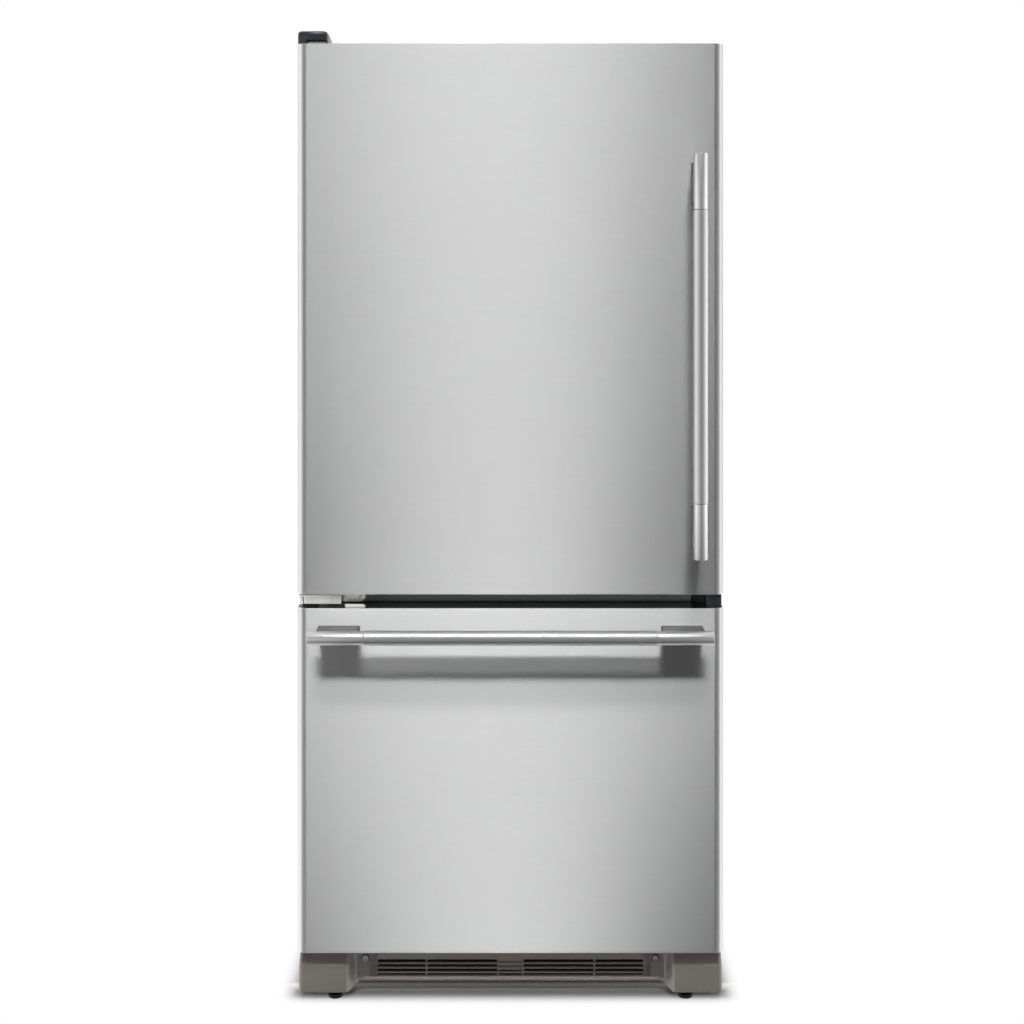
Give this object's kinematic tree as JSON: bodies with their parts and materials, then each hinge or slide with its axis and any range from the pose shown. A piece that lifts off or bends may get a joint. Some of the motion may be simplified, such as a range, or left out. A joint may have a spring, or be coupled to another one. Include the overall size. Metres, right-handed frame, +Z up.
{
  "type": "bottom freezer refrigerator",
  "caption": "Upright kitchen refrigerator with a left-hinged upper door over a pull-out freezer drawer, tubular handles, toe grille and fitted interior.",
  "frame": {"origin": "on the floor, in the middle of the overall width and depth, handles included", "axes": "+Z up, -Y out of the front towards the user, +X to the user's right"},
  "size_m": [0.75, 0.8184, 1.712],
  "materials": {
    "stainless": "brushed stainless sheet, fine horizontal grain",
    "handle_tube": "satin stainless tube",
    "handle_metal": "polished die casting",
    "cabinet_paint": "textured dark grey enamel",
    "back_sheet": "galvanised sheet",
    "zinc_steel": "zinc plated steel",
    "hinge_steel": "plated steel",
    "liner": "satin white sheet",
    "white_plastic": "satin white moulding",
    "foam": "rigid insulating foam",
    "dark_plastic": "fine-grained dark moulding",
    "gloss_black": "glossy black moulding",
    "grille_plastic": "pewter-coloured moulding",
    "gasket": "soft dark grey vinyl",
    "shelf_glass": "clear toughened pane",
    "clear_plastic": "clear moulding",
    "lens": "frosted moulding",
    "fins": "bright fins",
    "motor": "plated steel cans",
    "black_enamel": "semi-gloss black enamel",
    "condenser": "black painted tube",
    "rubber": "hard rubber",
    "screw_steel": "plated"
  },
  "bodies": {
    "cabinet": {"cabinet_wrapper": "cabinet_paint", "back_panel": "back_sheet", "cabinet_foam": "foam", "fresh_food_liner": "liner", "freezer_liner": "liner", "mullion_rail": "cabinet_paint", "base_frame": "zinc_steel", "base_grille": "grille_plastic", "screws": "screw_steel", "top_hinge": "hinge_steel", "top_hinge_cover": "dark_plastic", "center_hinge": "hinge_steel", "shelf_supports": "white_plastic", "shelf_glass": "shelf_glass", "shelf_trims": "white_plastic", "crisper_cover": "white_plastic", "air_duct": "white_plastic", "control_housing": "white_plastic", "light_lens": "lens", "evaporator_cover": "white_plastic", "evaporator": "fins", "fan_motors": "motor", "compressor": "black_enamel", "condenser": "condenser", "drain_pan": "dark_plastic", "machine_cover": "back_sheet", "drawer_rails_fixed": "zinc_steel"},
    "door": {"door_skin": "stainless", "door_foam": "foam", "door_inner_panel": "liner", "door_gasket": "gasket", "door_end_caps": "dark_plastic", "door_handle_bar": "handle_tube", "door_handle_mounts": "handle_metal", "door_bins": "clear_plastic", "dairy_box": "clear_plastic"},
    "drawer": {"drawer_skin": "stainless", "drawer_foam": "foam", "drawer_inner_panel": "liner", "drawer_gasket": "gasket", "drawer_end_caps": "gloss_black", "drawer_handle_bar": "handle_tube", "drawer_handle_mounts": "handle_metal", "freezer_basket": "white_plastic", "drawer_rails_inner": "zinc_steel"},
    "drawer_rails_middle": {"drawer_rails_middle": "zinc_steel"},
    "freezer_tray": {"freezer_tray": "clear_plastic"},
    "crisper_left": {"crisper_left": "clear_plastic"},
    "crisper_right": {"crisper_right": "clear_plastic"},
    "humidity_slide_left": {"humidity_slide_left": "dark_plastic"},
    "humidity_slide_right": {"humidity_slide_right": "dark_plastic"},
    "control_knob": {"control_knob": "dark_plastic"},
    "evaporator_fan": {"evaporator_fan": "dark_plastic"},
    "condenser_fan": {"condenser_fan": "dark_plastic"},
    "door_switch_plunger": {"door_switch_plunger": "white_plastic"},
    "dairy_lid": {"dairy_lid": "clear_plastic"},
    "leveling_leg_left": {"leveling_leg_left": "rubber"},
    "leveling_leg_right": {"leveling_leg_right": "rubber"},
    "rear_roller_left": {"rear_roller_left": "rubber"},
    "rear_roller_right": {"rear_roller_right": "rubber"}
  },
  "joints": [
    {"name": "door_hinge", "type": "hinge", "parent": "cabinet", "child": "door", "pos_m": [-0.366, -0.31575, 0.72], "axis": [0, 0, -1], "range_deg": [0, 125]},
    {"name": "drawer_slide", "type": "slide", "parent": "cabinet", "child": "drawer", "axis": [0, -1, 0], "range_m": [0, 0.4]},
    {"name": "rails_follow", "type": "slide", "parent": "cabinet", "child": "drawer_rails_middle", "axis": [0, -1, 0], "range_m": [0, 0.2]},
    {"name": "freezer_tray_slide", "type": "slide", "parent": "drawer", "child": "freezer_tray", "axis": [0, 1, 0], "range_m": [0, 0.13]},
    {"name": "crisper_left_slide", "type": "slide", "parent": "cabinet", "child": "crisper_left", "axis": [0, -1, 0], "range_m": [0, 0.04]},
    {"name": "crisper_right_slide", "type": "slide", "parent": "cabinet", "child": "crisper_right", "axis": [0, -1, 0], "range_m": [0, 0.04]},
    {"name": "humidity_left_slide", "type": "slide", "parent": "cabinet", "child": "humidity_slide_left", "axis": [1, 0, 0], "range_m": [0, 0.039]},
    {"name": "humidity_right_slide", "type": "slide", "parent": "cabinet", "child": "humidity_slide_right", "axis": [1, 0, 0], "range_m": [0, 0.039]},
    {"name": "control_knob_turn", "type": "hinge", "parent": "cabinet", "child": "control_knob", "pos_m": [0.105, -0.125, 1.617], "axis": [0, -1, 0], "range_deg": [-135, 135]},
    {"name": "evaporator_fan_spin", "type": "hinge", "parent": "cabinet", "child": "evaporator_fan", "pos_m": [0, 0.277, 0.6], "axis": [0, 1, 0], "continuous": true},
    {"name": "condenser_fan_spin", "type": "hinge", "parent": "cabinet", "child": "condenser_fan", "pos_m": [-0.009, 0.29425, 0.165], "axis": [1, 0, 0], "continuous": true},
    {"name": "door_switch_press", "type": "slide", "parent": "cabinet", "child": "door_switch_plunger", "axis": [0, -1, 0], "range_m": [0, 0.008]},
    {"name": "dairy_lid_hinge", "type": "hinge", "parent": "door", "child": "dairy_lid", "pos_m": [0, -0.26575, 1.5233], "axis": [1, 0, 0], "range_deg": [0, 75]},
    {"name": "leg_left_adjust", "type": "slide", "parent": "cabinet", "child": "leveling_leg_left", "axis": [0, 0, -1], "range_m": [0, 0.012]},
    {"name": "leg_right_adjust", "type": "slide", "parent": "cabinet", "child": "leveling_leg_right", "axis": [0, 0, -1], "range_m": [0, 0.012]},
    {"name": "roller_left_spin", "type": "hinge", "parent": "cabinet", "child": "rear_roller_left", "pos_m": [-0.333, 0.34925, 0.02], "axis": [1, 0, 0], "continuous": true},
    {"name": "roller_right_spin", "type": "hinge", "parent": "cabinet", "child": "rear_roller_right", "pos_m": [0.333, 0.34925, 0.02], "axis": [1, 0, 0], "continuous": true}
  ],
  "couplings": [
    {"joint": "rails_follow", "follows": "drawer_slide", "ratio": 0.5},
    {"joint": "door_switch_press", "follows": "door_hinge", "m_per_rad": 0.0036}
  ]
}
